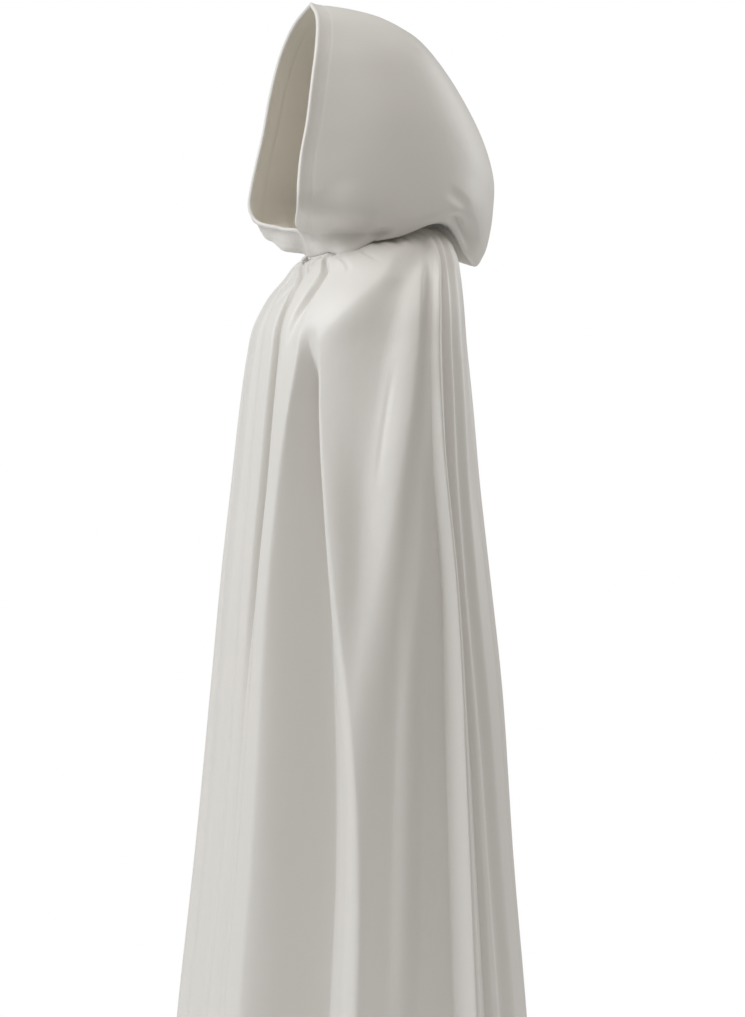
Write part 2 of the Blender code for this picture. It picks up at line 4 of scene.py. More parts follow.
import bpy
import numpy as np
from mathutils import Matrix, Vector


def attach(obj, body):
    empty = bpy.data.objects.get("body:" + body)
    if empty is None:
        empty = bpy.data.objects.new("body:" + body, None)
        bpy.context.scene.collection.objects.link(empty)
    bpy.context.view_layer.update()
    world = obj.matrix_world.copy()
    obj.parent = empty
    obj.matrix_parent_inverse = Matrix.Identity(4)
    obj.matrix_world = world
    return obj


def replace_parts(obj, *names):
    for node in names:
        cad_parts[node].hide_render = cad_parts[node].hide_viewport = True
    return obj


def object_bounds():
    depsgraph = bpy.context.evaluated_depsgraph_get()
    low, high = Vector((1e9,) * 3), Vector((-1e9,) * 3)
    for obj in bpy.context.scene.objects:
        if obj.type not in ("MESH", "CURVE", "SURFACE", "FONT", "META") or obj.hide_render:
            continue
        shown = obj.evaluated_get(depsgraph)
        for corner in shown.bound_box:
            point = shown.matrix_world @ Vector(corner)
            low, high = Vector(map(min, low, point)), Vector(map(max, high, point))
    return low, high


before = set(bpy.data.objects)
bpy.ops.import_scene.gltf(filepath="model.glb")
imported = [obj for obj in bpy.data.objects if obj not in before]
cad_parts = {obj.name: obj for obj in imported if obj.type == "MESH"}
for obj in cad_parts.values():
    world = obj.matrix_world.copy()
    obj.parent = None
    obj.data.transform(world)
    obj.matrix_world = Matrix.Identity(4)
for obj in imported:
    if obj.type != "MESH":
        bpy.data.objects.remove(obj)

# A full-length hooded cloak in ivory satin, in the hollow shape it has when worn.
# Metres, +Z up, front towards -Y, the wearer's left at +X. Angles round the body are in degrees:
# 0 is the middle of the front, 90 the wearer's left side, 180 the middle of the back.

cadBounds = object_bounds()
print("frame: loaded", sorted(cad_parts))


# Curves and tables

millimetre = 0.001
creaseFade = 0.35  # share of a crease's length over which each end fades


def smoothStep(values):
    share = np.clip(values, 0.0, 1.0)
    return share * share * (3.0 - 2.0 * share)


def hermite(start, end, leave, arrive, t):
    first = (2 * t**3 - 3 * t**2 + 1) * start + (t**3 - 2 * t**2 + t) * leave
    return first + (3 * t**2 - 2 * t**3) * end + (t**3 - t**2) * arrive


def smoothTable(knots, table, where):  # columns of a table read on a smooth curve through its rows
    knots = np.asarray(knots, float)
    table = np.asarray(table, float)
    steps = np.diff(knots)[:, None]
    slopes = np.diff(table, axis=0) / steps
    tangents = np.vstack([slopes[:1], 0.5 * (slopes[1:] + slopes[:-1]), slopes[-1:]])
    flat = np.atleast_1d(where).ravel()
    row = np.clip(np.searchsorted(knots, flat) - 1, 0, len(knots) - 2)
    width = steps[row]
    t = (flat - knots[row])[:, None] / width
    made = hermite(table[row], table[row + 1], width * tangents[row], width * tangents[row + 1], t)
    return made.reshape(np.shape(where) + (table.shape[1],))


def normalsOf(surface, first, second, steps):  # outward where first runs round and second runs down
    along = surface(first + steps[0], second) - surface(first - steps[0], second)
    downwards = surface(first, second + steps[1]) - surface(first, second - steps[1])
    normal = np.cross(downwards, along)
    return normal / np.linalg.norm(normal, axis=-1, keepdims=True)


def creaseShare(x, y, x2, y2, bow, halfWidth):  # 1 along the deepest line, which runs from 0, 0 to x2, y2
    length = math.hypot(x2, y2)
    along = (x * x2 + y * y2) / length**2
    bowed = 4.0 * millimetre * bow * along * (1.0 - along)
    aside = (y * x2 - x * y2) / length - bowed
    ends = smoothStep(along / creaseFade) * smoothStep((1.0 - along) / creaseFade)
    return ends * np.clip(1.0 - (aside / (millimetre * halfWidth)) ** 2, 0.0, 1.0) ** 2


def rowWidths(points):  # how long each row of points is
    return np.linalg.norm(np.diff(points, axis=1), axis=-1).sum(axis=1)


# The cape: its outline, its hanging folds and its creases

cape = {
    "cloth": 0.0012,  # thickness of one layer
    "seamGap": 0.0003,
    "seamDip": 0.0010,  # how far the pressed seams sink
    "seamWidth": 0.0045,
    "columns": {"front_left": 176, "front_right": 176, "back": 200},
    "rows": 214,
    "rowGrowth": 1.25,  # above 1 the rows are closer together at the neck
    "hemBand": 0.022,  # depth of the turned hem at the foot
    "openingBand": 0.014,  # depth of the turned edge beside the opening
    "bandMarks": (0.0, 0.3, 0.7, 1.0),  # columns held across the turned edge, as shares of its depth
    "bandStep": 0.0015,  # how short the step is where a turned edge ends
    "crowdLevels": (0.22, 0.45, 0.8, 1.3),  # distances down at which the spacing of columns is found
    "crowdSamples": 1600,
    "crowdTurns": 0.5,  # how strongly columns crowd where the cloth turns
    # half width, depth before and behind, height in the middle of the front, at the side, behind
    "rings": {
        "neck": (0.080, 0.079, 0.085, -0.004, 0.019, 0.050),
        "collar": (0.105, 0.096, 0.117, -0.014, 0.010, 0.040),
        "slope": (0.150, 0.110, 0.137, -0.036, -0.012, 0.006),
        "shoulder": (0.194, 0.133, 0.138, -0.067, -0.042, -0.032),
        "shoulderPoint": (0.222, 0.152, 0.1375, -0.106, -0.082, -0.076),
        "upperArm": (0.238, 0.161, 0.1385, -0.150, -0.137, -0.132),
        "chest": (0.250, 0.171, 0.1455, -0.222, -0.215, -0.215),
        "waist": (0.266, 0.184, 0.1555, -0.340, -0.340, -0.340),
        "elbow": (0.281, 0.197, 0.1685, -0.457, -0.457, -0.457),
        "hip": (0.303, 0.213, 0.188, -0.635, -0.635, -0.635),
        "thigh": (0.331, 0.235, 0.203, -0.872, -0.872, -0.872),
        "calf": (0.358, 0.261, 0.224, -1.109, -1.109, -1.109),
        "hem": (0.393, 0.291, 0.249, -1.420, -1.420, -1.420),
    },
    "rimPower": 1.3,
    # distances down the cloth at which the angles below are given
    "stations": (0.0, 0.08, 0.17, 0.35, 0.60, 0.90, 1.50),
    "edges": {
        "leftOpening": (0.8, 12.0, 13.6, 14.8, 14.6, 14.8, 16.0),
        "leftSeam": (138.0, 124.0, 113.0, 106.5, 107.0, 107.5, 106.0),
        "rightSeam": (-140.0, -130.0, -119.0, -107.5, -106.0, -107.0, -109.0),
    },
    "lap": {"angle": 2.4, "drop": 0.0032, "slope": 3.2, "start": 0.002, "grow": 0.012, "press": 0.008},
}

# One row for each hanging fold: the angle of its deepest line at each station; at each level its
# reach in degrees towards the lower angles and towards the higher ones, and its depth in
# millimetres; how far down it starts; how narrow its floor is; how crisp its lines are.
foldLevels = (0.12, 0.25, 0.45, 0.80, 1.50)
foldRise = 0.12
seamFlat = 0.035
folds = {
    "frontRight": (
        (-5, -5, -2, 0, 2, 3, 3), (4, 5, 5, 6, 7), (4, 5, 5, 6, 7),
        (2, 4, 5, 7, 12), 0.06, 1.0, 0,
    ),
    "openingGroove": (
        (0.8, 12.4, 13.2, 14.2, 14, 14.2, 15.5), (2.8, 2.4, 2.2, 2, 2), (3.4, 4, 4, 3, 3),
        (15, 15, 13, 0.5, 0), -0.02, 1.1, 0,
    ),
    "closureCrease": (
        (35, 35, 26, 20, 20, 20, 20), (4, 4, 4, 4, 4), (5, 5, 5, 5, 5),
        (12, 0, 0, 0, 0), -0.03, 1.0, 0,
    ),
    "frontValley": (
        (27, 29, 33, 33, 36, 41, 43), (4, 4.5, 10.5, 17, 20), (6, 7.5, 12.6, 19.6, 17),
        (10, 33, 64, 85, 88), 0.18, 0.8, 0.35,
    ),
    "swag": (
        (129, 101, 79, 64, 61.5, 58, 56), (17, 36, 16, 8, 6), (14, 23, 19, 10, 8),
        (9, 22, 18, 0, 0), -0.03, 0.9, 0,
    ),
    "armPanel": (
        (128, 112, 100, 90, 80, 75.5, 74), (6, 6, 9, 19, 23), (5, 5, 10, 24, 28),
        (5, 4, 4, 14, 21), 0.0, 1.0, 0,
    ),
    "armValley": (
        (105, 100, 97, 95.5, 97.2, 96.4, 94.8), (6, 6, 8, 20, 25), (3, 3, 2.6, 2.6, 2.4),
        (0, 0, 4, 15, 19), 0.33, 0.9, 0.3,
    ),
    "armRidge": (
        (131, 119, 106, 98.8, 99.8, 99.0, 97.4), (3.5, 3.5, 3.0, 2.8, 2.6), (4, 4, 5, 6, 6),
        (-8, -9, -18, -21, -21), 0.02, 0.9, 0.1,
    ),
    "sideSeam": (
        (138, 124, 113, 106.5, 107, 107.5, 106), (4, 4, 3, 3, 3), (4, 6, 4, 3, 3),
        (4, 6, 5, 4, 5), -0.02, 1.1, 0,
    ),
    "backLeft1": (
        (150, 132, 123, 117, 115, 117, 118), (4, 5, 5, 5, 6), (8, 8, 6, 6, 7),
        (7, 9, 8, 9, 12), -0.02, 0.9, 0,
    ),
    "backLeft2": (
        (162, 155, 147, 139, 139, 141, 143), (7, 8, 8, 9, 10), (7, 9, 11, 13, 14),
        (5, 9, 14, 21, 30), 0.04, 0.8, 0,
    ),
    "backMiddle": (
        (176, 174, 171, 168, 167, 167, 167), (7, 9, 11, 13, 14), (7, 8, 8, 9, 10),
        (4, 9, 14, 23, 32), 0.06, 0.8, 0,
    ),
    "backRight2": (
        (197, 199, 201, 203, 203, 202, 200), (7, 8, 9, 11, 12), (7, 8, 9, 11, 12),
        (4, 8, 12, 18, 26), 0.05, 0.9, 0,
    ),
    "backRight1": (
        (209, 215, 222, 228, 228, 227, 225), (6, 8, 10, 12, 13), (6, 7, 7, 8, 9),
        (6, 10, 15, 23, 33), 0.03, 0.8, 0,
    ),
    "farSeam": (
        (220, 230, 241, 252.5, 254, 253, 251), (5, 4.5, 4.5, 5.5, 7), (5, 4.5, 4.5, 5.5, 7),
        (7, 8, 9, 12, 17), -0.02, 1.1, 0,
    ),
    "farValley": (
        (-129, -120, -108, -96, -91, -89, -87), (4, 6, 8, 12, 14), (4, 5, 6, 8, 10),
        (3, 8, 14, 23, 31), 0.12, 0.8, 0,
    ),
    "farPanel": (
        (-122, -99, -80, -70, -66, -63, -60), (10, 12, 12, 12, 13), (10, 9, 8, 8, 9),
        (9, 14, 14, 13, 22), -0.02, 1.0, 0,
    ),
    "rightFront2": (
        (-42, -45, -47, -44, -40, -38, -35), (5, 8, 11, 14, 14), (5, 6, 8, 10, 10),
        (4, 9, 15, 23, 30), 0.12, 0.8, 0,
    ),
    "rightFront1": (
        (-19, -20, -20, -19, -17, -14, -13), (4, 5, 6, 8, 9), (4, 5, 6, 8, 9),
        (4, 7, 10, 15, 20), 0.05, 1.0, 0,
    ),
}

# Short gathers where the cape is drawn into the neck seam.
gathers = {
    "count": 26,
    "depth": 0.0022,
    "length": 0.055,
    "rise": 0.006,  # distance from the seam over which they begin
    "sway": 9.0,  # degrees by which they crowd together, in as many places as crowds says
    "crowds": 3,
    "frontGain": 1.6,  # how much deeper they are in front
    "flatAngle": 8.0,  # degrees on each side of the button without gathers
    "buttonAngle": 7.5,
}

# Creases listed one by one: angle and distance down at the start, the same at the end, sideways bow,
# half width and depth in millimetres. A depth below zero is a ridge.
capeCreases = (
    (14, 0.080, 1, 0.150, 0, 7, 2.5),
    (17, 0.022, 21, 0.090, 3, 6, -1.8),
    (24, 0.018, 17, 0.075, -4, 4, 1.6),
    (46, 0.025, 55, 0.100, -5, 8, 1.8),
    (66, 0.015, 80, 0.085, 4, 7, 2.0),
    (78.6, 0.250, 67, 0.460, 4, 8, 1.3),
    (84, 0.500, 73, 1.350, 0, 26, -3.5),
    (3, 0.020, -6, 0.120, 6, 6, 3.4),
    (-5, 0.014, -19, 0.115, 8, 7, 3.8),
    (-14, 0.050, -30, 0.180, 8, 8, 4.0),
    (-44, 0.020, -58, 0.110, 5, 8, 2.2),
    (-62, 0.060, -82, 0.190, 9, 9, 2.8),
    (-100, 0.300, -84, 0.620, -9, 14, 3.0),
    (-50, 0.420, -58, 0.900, 6, 16, 2.6),
    (148, 0.060, 140, 0.200, 5, 8, 2.4),
    (172, 0.040, 160, 0.150, 6, 8, 2.2),
    (203, 0.050, 214, 0.180, -7, 8, 2.4),
    (186, 0.300, 178, 0.760, 7, 16, 3.0),
)


def ringDistances():
    rings = np.array(list(cape["rings"].values()))
    return np.concatenate([[0.0], np.cumsum(np.hypot(np.diff(rings[:, 0]), np.diff(rings[:, 4])))])


ringDown = ringDistances()
capeLength = float(ringDown[-1])
ringSteps = (0.5, 0.002)  # steps for the outline's normals, in degrees and metres
panelSteps = (0.0015, 0.0015)  # steps for a panel's normals, as a share across and in metres down


def ringPoint(angle, down):  # the plain outline, before any fold
    width, front, back, zFront, zSide, zBack = np.moveaxis(
        smoothTable(ringDown, list(cape["rings"].values()), down), -1, 0
    )
    turn = np.radians(angle)
    forward = np.cos(turn)
    depth = np.where(forward > 0, front, back)
    rim = np.where(forward > 0, zFront, zBack)
    height = zSide + (rim - zSide) * abs(forward) ** cape["rimPower"]
    return np.stack([width * np.sin(turn), -depth * forward, height], axis=-1)


def ringRadius(down):  # mean of the half width and the two depths
    rings = smoothTable(ringDown, list(cape["rings"].values()), down)
    return np.mean(rings[..., :3], axis=-1)


def edgeAngle(name, down):
    return smoothTable(cape["stations"], [[angle] for angle in cape["edges"][name]], down)[..., 0]


def turned(angle):  # the same angle between -180 and 180
    return (angle + 180.0) % 360.0 - 180.0


def foldDepth(angle, down):  # how far the cloth lies inside the line of its ridges
    total = np.zeros(np.shape(angle))
    levels = np.clip(down, foldLevels[0], foldLevels[-1])
    for angles, before, after, depths, start, narrow, crisp in folds.values():
        middle = smoothTable(cape["stations"], np.transpose([angles]), down)[..., 0]
        size = smoothTable(foldLevels, np.transpose([before, after, depths]), levels)
        away = turned(angle - middle)
        share = np.clip(away / np.where(away < 0, size[..., 0], size[..., 1]), -1.0, 1.0)
        grown = smoothStep((down - start) / foldRise) * smoothStep(down / seamFlat)
        rounded = (0.5 + 0.5 * np.cos(math.pi * share)) ** narrow
        across = (1.0 - crisp) * rounded + crisp * (1.0 - abs(share))
        total += millimetre * size[..., 2] * grown * across
    return total


def gatherDepth(angle, down):
    gain = 1.0 + (gathers["frontGain"] - 1.0) * np.clip(np.cos(np.radians(angle)), 0.0, 1.0)
    swayed = angle + gathers["sway"] * np.sin(np.radians(gathers["crowds"] * angle))
    wave = 0.5 - 0.5 * np.cos(np.radians(swayed) * gathers["count"])
    fade = (1.0 - smoothStep(down / gathers["length"])) * smoothStep(down / gathers["rise"])
    beside = abs(turned(angle - gathers["buttonAngle"]))
    beside = smoothStep((beside - gathers["flatAngle"]) / gathers["flatAngle"])
    return gathers["depth"] * gain * wave * fade * beside


def creaseDepth(angle, down):  # the listed creases, as distances on the cloth
    total = np.zeros(np.shape(angle))
    radius = ringRadius(down)
    for angle1, down1, angle2, down2, bow, halfWidth, depth in capeCreases:
        x = np.radians(turned(angle - angle1)) * radius
        x2 = math.radians(angle2 - angle1) * float(ringRadius(0.5 * (down1 + down2)))
        total += millimetre * depth * creaseShare(x, down - down1, x2, down2 - down1, bow, halfWidth)
    return total


def capeSurface(angle, down, lap=0.0):  # the middle of the cloth
    normal = normalsOf(ringPoint, angle, down, ringSteps)
    inwards = foldDepth(angle, down) + gatherDepth(angle, down) + creaseDepth(angle, down) + lap
    return ringPoint(angle, down) - normal * inwards[..., None]


def leftFront(share, down):
    start = edgeAngle("leftOpening", down)
    return capeSurface(start + (edgeAngle("leftSeam", down) - start) * share, down)


def rightFront(share, down):  # passes under the left front
    lap = cape["lap"]
    opening = edgeAngle("leftOpening", down)
    crossed = smoothStep((down - lap["start"]) / lap["grow"])
    start = -cape["edges"]["leftOpening"][0] * (1.0 - crossed) + (opening + lap["angle"]) * crossed
    angle = start + (edgeAngle("rightSeam", down) - start) * share
    slope = smoothStep((angle - opening + lap["slope"]) / lap["slope"])
    pressed = lap["drop"] * slope * smoothStep(down / lap["press"])
    return capeSurface(angle, down, pressed)


def backPanel(share, down):
    start = edgeAngle("leftSeam", down)
    return capeSurface(start + (edgeAngle("rightSeam", down) + 360.0 - start) * share, down)


# Walls of cloth

def clothWall(name, middle, normal, outerHalf, innerHalf, place, materials):
    # a closed sheet with rounded rims; place is where each point lies on the flat cloth, in metres
    rows, columns, _ = middle.shape
    count = rows * columns
    index = np.arange(count).reshape(rows, columns)
    quads = np.stack([index[:-1, :-1], index[1:, :-1], index[1:, 1:], index[:-1, 1:]], axis=-1)
    quads = quads.reshape(-1, 4)
    rim = np.concatenate([index[0, :], index[1:, -1], index[-1, -2::-1], index[-2:0:-1, 0]])
    outwards = np.zeros_like(middle)
    outwards[0] += middle[0] - middle[1]
    outwards[-1] += middle[-1] - middle[-2]
    outwards[:, 0] += middle[:, 0] - middle[:, 1]
    outwards[:, -1] += middle[:, -1] - middle[:, -2]
    rimWay = outwards.reshape(-1, 3)[rim]
    rimWay /= np.linalg.norm(rimWay, axis=-1, keepdims=True)
    rimHalf = 0.5 * (outerHalf + innerHalf).reshape(-1)[rim]
    flat = middle.reshape(-1, 3)
    shift = 0.5 * (outerHalf - innerHalf).reshape(-1, 1)[rim] * normal.reshape(-1, 3)[rim]
    points = np.concatenate([
        (middle + normal * outerHalf[..., None]).reshape(-1, 3),
        (middle - normal * innerHalf[..., None]).reshape(-1, 3),
        flat[rim] + rimWay * rimHalf[:, None] + shift,
    ])
    following = np.roll(rim, -1)
    ring = 2 * count + np.arange(len(rim))
    nextRing = np.roll(ring, -1)
    sides = np.concatenate([
        np.stack([rim, following, nextRing, ring], axis=-1),
        np.stack([ring, nextRing, following + count, rim + count], axis=-1),
    ])
    faces = np.concatenate([quads, quads[:, ::-1] + count, sides])
    finish = np.concatenate([np.zeros(len(quads)), np.ones(len(quads)), np.zeros(len(sides))]).astype(int)
    mesh = bpy.data.meshes.new(name)
    mesh.from_pydata(points, [], faces.tolist())
    for material in materials:
        mesh.materials.append(material)
    mesh.polygons.foreach_set("material_index", finish)
    mesh.shade_smooth()
    spread = np.concatenate([place.reshape(-1, 2), place.reshape(-1, 2), place.reshape(-1, 2)[rim]])
    corners = np.empty(len(mesh.loops), int)
    mesh.loops.foreach_get("vertex_index", corners)
    mesh.uv_layers.new(name="flatCloth").uv.foreach_set("vector", spread[corners].ravel())
    made = bpy.data.objects.new(name, mesh)
    bpy.context.collection.objects.link(made)
    return made


def clothArea(obj):  # half the surface of a closed sheet
    return 0.5 * sum(polygon.area for polygon in obj.data.polygons)


def crowdedShares(surface, columns):  # closer together where the cloth turns
    shares = np.linspace(0.0, 1.0, cape["crowdSamples"] + 1)
    crowding = np.zeros(cape["crowdSamples"])
    for level in cape["crowdLevels"]:
        steps = np.diff(surface(shares, np.full_like(shares, level)), axis=0)
        lengths = np.linalg.norm(steps, axis=-1)
        turns = np.linalg.norm(np.gradient(steps / lengths[:, None], axis=0), axis=-1)
        crowding += lengths / lengths.sum() + cape["crowdTurns"] * turns / turns.sum()
    reached = np.concatenate([[0.0], np.cumsum(crowding)])
    return np.interp(np.linspace(0.0, reached[-1], columns + 1), reached, shares)


def flatPlaces(middle):  # distances along and down the cloth, for weave and stitches
    across = np.linalg.norm(np.diff(middle, axis=1), axis=-1)
    across = np.concatenate([np.zeros((len(middle), 1)), np.cumsum(across, axis=1)], axis=1)
    downwards = np.linalg.norm(np.diff(middle, axis=0), axis=-1)
    downwards = np.concatenate([np.zeros((1, middle.shape[1])), np.cumsum(downwards, axis=0)])
    return np.stack([across - across[:, -1:] / 2, downwards], axis=-1)


def sinkAtSeam(middle, normal, borders):  # the pressed seam, on the first or last column
    for border in borders:
        order = middle if border == 0 else middle[:, ::-1]
        away = np.linalg.norm(order - order[:, :1], axis=-1)
        dip = cape["seamDip"] * np.exp(-(away / cape["seamWidth"]) ** 2)
        dip = dip if border == 0 else dip[:, ::-1]
        middle -= normal * dip[..., None]
        beside = 1 if border == 0 else -2
        step = middle[:, beside] - middle[:, border]
        middle[:, border] += step / np.linalg.norm(step, axis=-1, keepdims=True) * cape["seamGap"] / 2


def capePanel(name, surface, facing, seams, opening, materials):
    # facing is -1 on the panel whose columns run the other way round the body
    shares = crowdedShares(surface, cape["columns"][name])
    hemBand, band, bandStep = cape["hemBand"], cape["openingBand"], cape["bandStep"]
    bandRows = capeLength - np.array([hemBand + bandStep, hemBand, 0.5 * hemBand])
    rows = capeLength * np.linspace(0.0, 1.0, cape["rows"] + 1) ** cape["rowGrowth"]
    rows = np.sort(np.concatenate([rows, bandRows]))
    first, second = np.meshgrid(shares, rows)
    if opening:  # columns that keep their distance from the turned edge
        marks = np.array([mark * band for mark in cape["bandMarks"]] + [band + bandStep])
        held = marks[None, :] / rowWidths(surface(first, second))[:, None]
        rest = held[:, -1:] + (1.0 - held[:, -1:]) * shares[1:][None, :]
        first = np.concatenate([held, rest], axis=1)
        second = np.repeat(rows[:, None], first.shape[1], axis=1)
    middle = surface(first, second)
    normal = normalsOf(surface, first, second, panelSteps) * facing
    place = flatPlaces(middle)
    sinkAtSeam(middle, normal, seams)
    half = np.full(first.shape, cape["cloth"] / 2)
    doubled = 1.0 - smoothStep((capeLength - second - hemBand) / bandStep)
    if opening:
        away = np.linalg.norm(middle - middle[:, :1], axis=-1)
        doubled = np.maximum(doubled, 1.0 - smoothStep((away - band) / bandStep))
    inner = half + cape["cloth"] * doubled
    sheets = [sheet[:, ::facing] for sheet in (middle, normal, half, inner, place)]
    made = clothWall(name + "Cloth", *sheets, materials)
    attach(made, "root")
    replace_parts(made, name)
    return made


# The hood

hood = {
    "cloth": 0.0012,
    "columns": 132,
    "rows": 150,
    "band": 0.020,  # depth of the turned edge round the face
    "bandMarks": (0.0, 0.15, 0.4, 0.7, 1.0, 1.08, 1.2),  # columns held across it, as shares of its depth
    "bandFade": 0.2,  # how softly the turned edge ends, as a share of its depth
    "heldAtMost": 0.35,  # share of a narrow section that those columns may take
    "rimBulge": 0.0022,  # the rolled rim of the face opening
    "rimReach": 0.004,
    "bandGroove": 0.0007,  # the stitched line where the turned edge ends
    "grooveWidth": 0.0015,
    "shares": (0.0, 0.42, 0.76, 1.0),  # where front edge, side, back and seam lie across a section
    "seamRoundness": 0.25,  # 0 is a sharp ridge at the centre seam, 1 a round one
    "edgeEase": 0.2,  # how much straighter the cloth runs at the front edge
    "neckBlend": 0.09,  # share of the fall over which the hood meets the neck of the cape
    "seamLift": 0.0014,  # how far the hood stands on the neck seam
    "seamInset": 0.2,  # room left at the centre seam, in thicknesses of cloth
    # front edge, side, back and centre seam of each section, from the neck up
    "sections": {
        "neck": (
            (0.002, -0.079, -0.002), (0.080, 0.000, 0.021), (0.052, 0.065, 0.043), (0.0, 0.087, 0.053),
        ),
        "tuck": (
            (0.004, -0.0955, 0.033), (0.100, 0.004, 0.020), (0.067, 0.084, 0.047), (0.0, 0.120, 0.053),
        ),
        "roll": (
            (0.035, -0.113, 0.0395), (0.111, 0.010, 0.031), (0.077, 0.100, 0.045), (0.0, 0.150, 0.022),
        ),
        "floor": (
            (0.072, -0.126, 0.047), (0.117, 0.018, 0.047), (0.083, 0.115, 0.044), (0.0, 0.177, -0.012),
        ),
        "fold": (
            (0.103, -0.1345, 0.0585), (0.119, 0.022, 0.062), (0.088, 0.127, 0.053), (0.0, 0.193, 0.004),
        ),
        "corner": (
            (0.1135, -0.1375, 0.077), (0.120, 0.024, 0.085), (0.089, 0.135, 0.078), (0.0, 0.202, 0.030),
        ),
        "cheek": (
            (0.111, -0.136, 0.100), (0.120, 0.025, 0.116), (0.086, 0.138, 0.111), (0.0, 0.2085, 0.070),
        ),
        "ear": (
            (0.105, -0.130, 0.138), (0.119, 0.024, 0.155), (0.081, 0.138, 0.152), (0.0, 0.2095, 0.120),
        ),
        "temple": (
            (0.1015, -0.1195, 0.187), (0.115, 0.021, 0.201), (0.077, 0.124, 0.200), (0.0, 0.192, 0.178),
        ),
        "brow": (
            (0.096, -0.1105, 0.243), (0.103, 0.014, 0.249), (0.070, 0.103, 0.250), (0.0, 0.158, 0.240),
        ),
        "forehead": (
            (0.083, -0.099, 0.300), (0.084, 0.004, 0.297), (0.058, 0.076, 0.296), (0.0, 0.122, 0.290),
        ),
        "crown": (
            (0.053, -0.088, 0.343), (0.047, -0.008, 0.337), (0.034, 0.053, 0.329), (0.0, 0.090, 0.323),
        ),
        "top": (
            (0.0, -0.080, 0.3695), (0.0, -0.020, 0.364), (0.0, 0.026, 0.3545), (0.0, 0.058, 0.342),
        ),
    },
    # soft swells and dents: middle across and down, reach across and down, height in millimetres
    "relief": {
        "swellOverNeck": (0.20, 0.925, 0.17, 0.08, 4.0),
        "tuckBehindDroop": (0.37, 0.87, 0.08, 0.07, -9.0),
        "dentBySeam": (0.80, 0.71, 0.13, 0.11, -12.0),
        "liftOverClosure": (0.19, 0.70, 0.13, 0.20, 9.0),
    },
    # where the cloth hangs out over its lower edge: middle and reach as above, then how far it
    # hangs outwards, back and up, in millimetres, on the left half and on the right one
    "drapes": {
        "droopOverNeck": (0.22, 0.93, 0.16, 0.08, (15, -9, -21), (12, -9, -12)),
        "sagBelowFace": (0.09, 0.87, 0.10, 0.15, (1, -4, -6), (4, -19, -27)),
        "sagAtCorner": (0.07, 0.71, 0.08, 0.17, (0, -2, -6), (0, -9, -25)),
        "sagOfBag": (0.87, 0.76, 0.14, 0.10, (0, -3, -10), (0, -3, -10)),
    },
    # creases: across and fall at the start and at the end, bow, half width and depth in millimetres
    "creases": (
        (0.60, 0.67, 0.94, 0.72, 0, 30, 4),
        (0.60, 0.56, 0.80, 0.63, 0, 17, 3),
    ),
    "spread": (0.34, 0.40),  # rough width and height of a half, for the creases' distances
}
hoodSteps = (0.01, 0.01)  # steps for the normals of the plain sections


def softSpot(across, fall, middleAcross, middleFall, reachAcross, reachFall):  # 1 in its middle
    away = np.hypot((across - middleAcross) / reachAcross, (fall - middleFall) / reachFall)
    return 1.0 - smoothStep(away)


def hoodSection(across, fall):  # across 0 at the front edge, 1 at the centre seam; fall 0 at the top
    sections = np.array(list(hood["sections"].values()))
    table = sections.reshape(len(sections), -1)
    rows = smoothTable(np.linspace(0.0, 1.0, len(sections)), table, 1.0 - fall)
    points = np.moveaxis(rows.reshape(rows.shape[:-1] + sections.shape[1:]), -2, 0)
    knots = hood["shares"]
    spans = range(len(knots) - 1)
    slopes = [(points[k + 1] - points[k]) / (knots[k + 1] - knots[k]) for k in spans]
    atSide = 0.5 * (slopes[0] + slopes[1])
    atBack = 0.5 * (slopes[1] + slopes[2])
    sideways = np.array([-1.0, 0.0, 0.0]) * np.linalg.norm(slopes[2], axis=-1, keepdims=True)
    atSeam = hood["seamRoundness"] * sideways + (1.0 - hood["seamRoundness"]) * slopes[2]
    atFront = (1.0 + hood["edgeEase"]) * slopes[0] - hood["edgeEase"] * atSide
    tangents = [atFront, atSide, atBack, atSeam]
    across = across[..., None]
    made = points[0]
    for k in spans:
        width = knots[k + 1] - knots[k]
        t = np.clip((across - knots[k]) / width, 0.0, 1.0)
        piece = hermite(points[k], points[k + 1], width * tangents[k], width * tangents[k + 1], t)
        made = np.where(across >= knots[k], piece, made)
    return made


def hoodDrape(across, fall, side):  # as a vector, in metres
    total = np.zeros(np.shape(across) + (3,))
    for *spot, left, right in hood["drapes"].values():
        hang = millimetre * np.array(left if side > 0 else right)
        total += hang * softSpot(across, fall, *spot)[..., None]
    return total


def hoodRelief(across, fall):  # out of the surface, in metres
    total = np.zeros(np.shape(across))
    for *spot, height in hood["relief"].values():
        total += millimetre * height * softSpot(across, fall, *spot)
    wide, tall = hood["spread"]
    for across1, fall1, across2, fall2, bow, halfWidth, depth in hood["creases"]:
        x, y = (across - across1) * wide, (fall - fall1) * tall
        x2, y2 = (across2 - across1) * wide, (fall2 - fall1) * tall
        total -= millimetre * depth * creaseShare(x, y, x2, y2, bow, halfWidth)
    return total


def hoodSurface(across, fall, side=1):  # a half before it is mirrored, laid on the neck of the cape
    across = np.clip(across, 0.0, 1.0)
    fall = np.clip(fall, 0.0, 1.0)
    start = cape["edges"]["leftOpening"][0]
    neck = ringPoint(start + (180.0 - start) * across, np.zeros_like(across))
    neck = neck + np.array([0.0, 0.0, hood["seamLift"]])
    fade = 1.0 - smoothStep((1.0 - fall) / hood["neckBlend"])
    shift = neck - hoodSection(across, np.ones_like(fall))
    inside = [np.clip(share, hoodSteps[0], 1.0 - hoodSteps[0]) for share in (across, fall)]
    normal = normalsOf(hoodSection, *inside, hoodSteps)
    raised = hoodRelief(across, fall) * (1.0 - fade)
    plain = hoodSection(across, fall) + shift * fade[..., None] + normal * raised[..., None]
    return plain + hoodDrape(across, fall, side)


